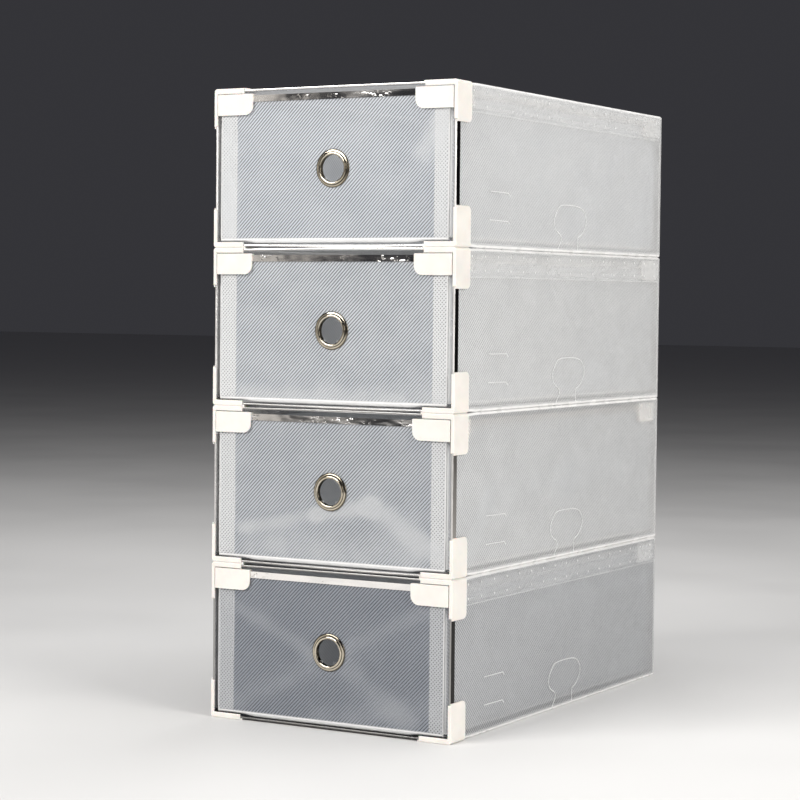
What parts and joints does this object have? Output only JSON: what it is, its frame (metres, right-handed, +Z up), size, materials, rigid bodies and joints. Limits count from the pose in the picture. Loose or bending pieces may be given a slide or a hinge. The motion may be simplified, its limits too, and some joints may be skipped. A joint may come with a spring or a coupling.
{
  "type": "shoe box",
  "caption": "Column of stacked shoe boxes: translucent ribbed plastic sleeves edged in steel strip with white corner brackets, each holding a pull-out drawer with a metal finger ring.",
  "frame": {"origin": "middle of the column's footprint, on the floor", "axes": "+Z up, +X to the right seen from the front, -Y out of the drawers' fronts"},
  "size_m": [0.184, 0.322, 0.42],
  "materials": {
    "sleeve_sheet": "translucent polypropylene sheet with fine diagonal ribs",
    "drawer_sheet": "translucent polypropylene sheet with fine diagonal ribs",
    "steel_strip": "thin polished stainless strip",
    "corner_plastic": "warm white moulding",
    "ring_metal": "pale champagne nickel plate"
  },
  "bodies": {
    "box1": {"box1_sleeve": "sleeve_sheet", "box1_mouth_strip_top": "steel_strip", "box1_mouth_strip_bottom": "steel_strip", "box1_mouth_strip_sides": "steel_strip", "box1_bracket_top_left": "corner_plastic", "box1_bracket_top_right": "corner_plastic", "box1_bracket_bottom_left": "corner_plastic", "box1_bracket_bottom_right": "corner_plastic"},
    "drawer1": {"box1_drawer_tray": "drawer_sheet", "box1_drawer_rim_strip_front": "steel_strip", "box1_drawer_rim_strips": "steel_strip", "box1_drawer_front_caps": "corner_plastic", "box1_drawer_rear_caps": "corner_plastic", "box1_finger_ring": "ring_metal", "box1_ring_washer": "ring_metal"},
    "box2": {"box2_sleeve": "sleeve_sheet", "box2_mouth_strip_top": "steel_strip", "box2_mouth_strip_bottom": "steel_strip", "box2_mouth_strip_sides": "steel_strip", "box2_bracket_top_left": "corner_plastic", "box2_bracket_top_right": "corner_plastic", "box2_bracket_bottom_left": "corner_plastic", "box2_bracket_bottom_right": "corner_plastic"},
    "drawer2": {"box2_drawer_tray": "drawer_sheet", "box2_drawer_rim_strip_front": "steel_strip", "box2_drawer_rim_strips": "steel_strip", "box2_drawer_front_caps": "corner_plastic", "box2_drawer_rear_caps": "corner_plastic", "box2_finger_ring": "ring_metal", "box2_ring_washer": "ring_metal"},
    "box3": {"box3_sleeve": "sleeve_sheet", "box3_mouth_strip_top": "steel_strip", "box3_mouth_strip_bottom": "steel_strip", "box3_mouth_strip_sides": "steel_strip", "box3_bracket_top_left": "corner_plastic", "box3_bracket_top_right": "corner_plastic", "box3_bracket_bottom_left": "corner_plastic", "box3_bracket_bottom_right": "corner_plastic"},
    "drawer3": {"box3_drawer_tray": "drawer_sheet", "box3_drawer_rim_strip_front": "steel_strip", "box3_drawer_rim_strips": "steel_strip", "box3_drawer_front_caps": "corner_plastic", "box3_drawer_rear_caps": "corner_plastic", "box3_finger_ring": "ring_metal", "box3_ring_washer": "ring_metal"},
    "box4": {"box4_sleeve": "sleeve_sheet", "box4_mouth_strip_top": "steel_strip", "box4_mouth_strip_bottom": "steel_strip", "box4_mouth_strip_sides": "steel_strip", "box4_bracket_top_left": "corner_plastic", "box4_bracket_top_right": "corner_plastic", "box4_bracket_bottom_left": "corner_plastic", "box4_bracket_bottom_right": "corner_plastic"},
    "drawer4": {"box4_drawer_tray": "drawer_sheet", "box4_drawer_rim_strip_front": "steel_strip", "box4_drawer_rim_strips": "steel_strip", "box4_drawer_front_caps": "corner_plastic", "box4_drawer_rear_caps": "corner_plastic", "box4_finger_ring": "ring_metal", "box4_ring_washer": "ring_metal"}
  },
  "joints": [
    {"name": "drawer1_slide", "type": "slide", "parent": "box1", "child": "drawer1", "axis": [0, -1, 0], "range_m": [0, 0.26]},
    {"name": "box2_lift", "type": "slide", "parent": "box1", "child": "box2", "axis": [0, 0, 1], "range_m": [0, 0.03]},
    {"name": "drawer2_slide", "type": "slide", "parent": "box2", "child": "drawer2", "axis": [0, -1, 0], "range_m": [0, 0.26]},
    {"name": "box3_lift", "type": "slide", "parent": "box2", "child": "box3", "axis": [0, 0, 1], "range_m": [0, 0.03]},
    {"name": "drawer3_slide", "type": "slide", "parent": "box3", "child": "drawer3", "axis": [0, -1, 0], "range_m": [0, 0.26]},
    {"name": "box4_lift", "type": "slide", "parent": "box3", "child": "box4", "axis": [0, 0, 1], "range_m": [0, 0.03]},
    {"name": "drawer4_slide", "type": "slide", "parent": "box4", "child": "drawer4", "axis": [0, -1, 0], "range_m": [0, 0.26]}
  ]
}
